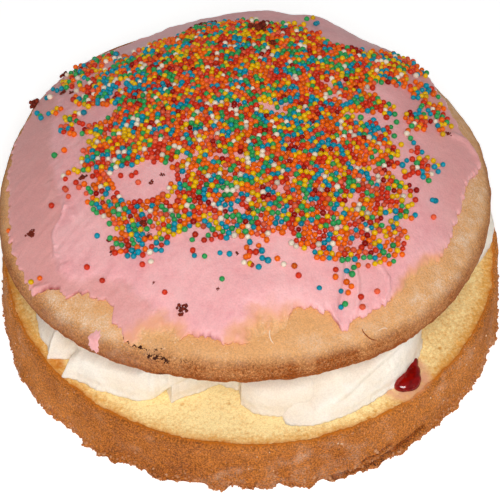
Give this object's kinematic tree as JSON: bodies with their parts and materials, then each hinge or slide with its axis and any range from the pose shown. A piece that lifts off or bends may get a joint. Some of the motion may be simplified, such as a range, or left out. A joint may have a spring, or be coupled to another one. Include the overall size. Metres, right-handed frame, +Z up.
{
  "type": "iced sponge sandwich cake",
  "caption": "Round sponge sandwich cake filled with jam and piped cream, its domed top layer coated with ragged pink icing and coloured sugar sprinkles.",
  "frame": {"origin": "centre of the lower layer's flat underside, on the surface the cake stands on", "axes": "+Z up; -Y is the front, where the filling shows most; +X is the right-hand side seen from the front"},
  "size_m": [0.1996, 0.2006, 0.0903],
  "materials": {
    "sponge": "baked sponge: pale yellow crumb, tan to dark brown crust, matt",
    "jam": "glossy dark red raspberry jam",
    "cream": "whipped cream, ivory, softly satin",
    "icing": "pink sugar icing, soft satin gloss, uneven thickness",
    "sprinkles": "small sugar balls, red, orange, yellow, green, blue and white, satin gloss"
  },
  "bodies": {
    "root": {"sponge_lower": "sponge", "jam_layer": "jam", "cream_layer": "cream", "cream_swirl_01": "cream", "cream_swirl_02": "cream", "cream_swirl_03": "cream", "cream_swirl_04": "cream", "cream_swirl_05": "cream", "cream_swirl_06": "cream", "cream_swirl_07": "cream", "cream_swirl_08": "cream", "cream_swirl_09": "cream", "cream_swirl_10": "cream", "cream_swirl_11": "cream", "cream_swirl_12": "cream", "cream_swirl_13": "cream", "cream_swirl_14": "cream", "sponge_upper": "sponge", "icing": "icing"}
  },
  "joints": []
}
